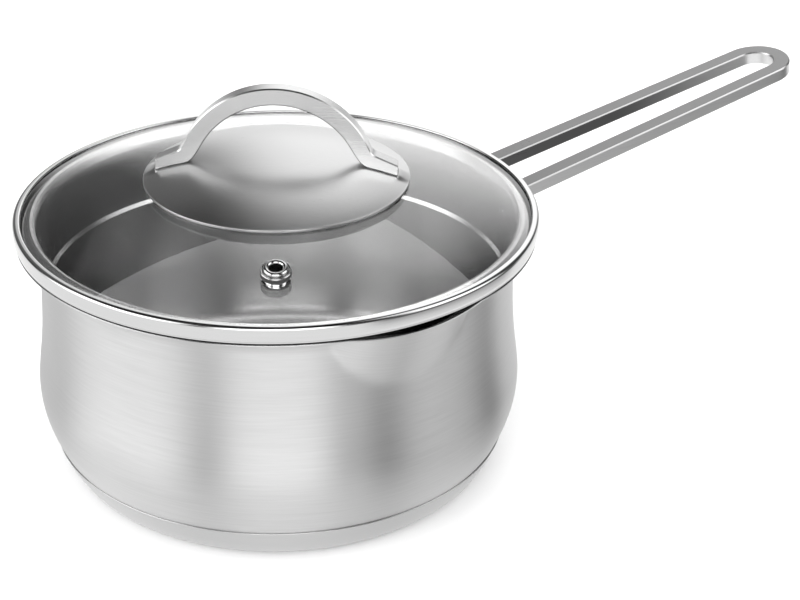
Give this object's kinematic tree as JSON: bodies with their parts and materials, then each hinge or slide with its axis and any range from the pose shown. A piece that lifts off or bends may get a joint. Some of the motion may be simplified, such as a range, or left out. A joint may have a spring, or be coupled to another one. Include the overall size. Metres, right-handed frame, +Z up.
{
  "type": "saucepan with glass lid",
  "caption": "Bellied steel saucepan with a long flat-bar loop handle, pouring spouts, and a domed glass lid with an arched grip, a steam vent and a strainer skirt.",
  "frame": {"origin": "centre of the flat base face, on the surface that the pan stands on", "axes": "+Z up along the pan's axis, +X along the long handle away from the pan, spouts at +Y and -Y"},
  "size_m": [0.3208, 0.177, 0.134],
  "materials": {
    "pan_steel": "brushed round the axis",
    "base_steel": "fine turned, bright",
    "handle_steel": "satin, brushed lengthwise, bright edges",
    "polished_steel": "polished",
    "strainer_steel": "semi-bright sheet",
    "plate_steel": "brushed in straight fine lines",
    "grip_steel": "fine satin, bright edges",
    "clear_glass": "clear tempered glass",
    "silicone": "matt silicone",
    "core_aluminium": "plain, sealed inside the base"
  },
  "bodies": {
    "pan": {"pan_body": "pan_steel", "heat_disc": "core_aluminium", "base_cap": "base_steel", "handle_bracket": "handle_steel", "handle_loop": "handle_steel"},
    "lid_centre": {"knob_washer": "polished_steel"},
    "lid": {"lid_glass": "clear_glass", "rim_band": "polished_steel", "strainer_skirt": "strainer_steel", "vent_eyelet": "polished_steel", "vent_seal": "silicone", "vent_washer": "polished_steel", "knob_plate": "plate_steel", "knob_arch": "grip_steel", "knob_boss": "polished_steel", "knob_seal_upper": "silicone", "knob_seal_lower": "silicone", "lock_washer": "polished_steel", "knob_screw": "polished_steel"}
  },
  "joints": [
    {"name": "lid_lift", "type": "slide", "parent": "pan", "child": "lid_centre", "axis": [0, 0, 1], "range_m": [0, 0.12]},
    {"name": "lid_turn", "type": "hinge", "parent": "lid_centre", "child": "lid", "pos_m": [0, 0, 0.1], "axis": [0, 0, 1], "continuous": true}
  ]
}
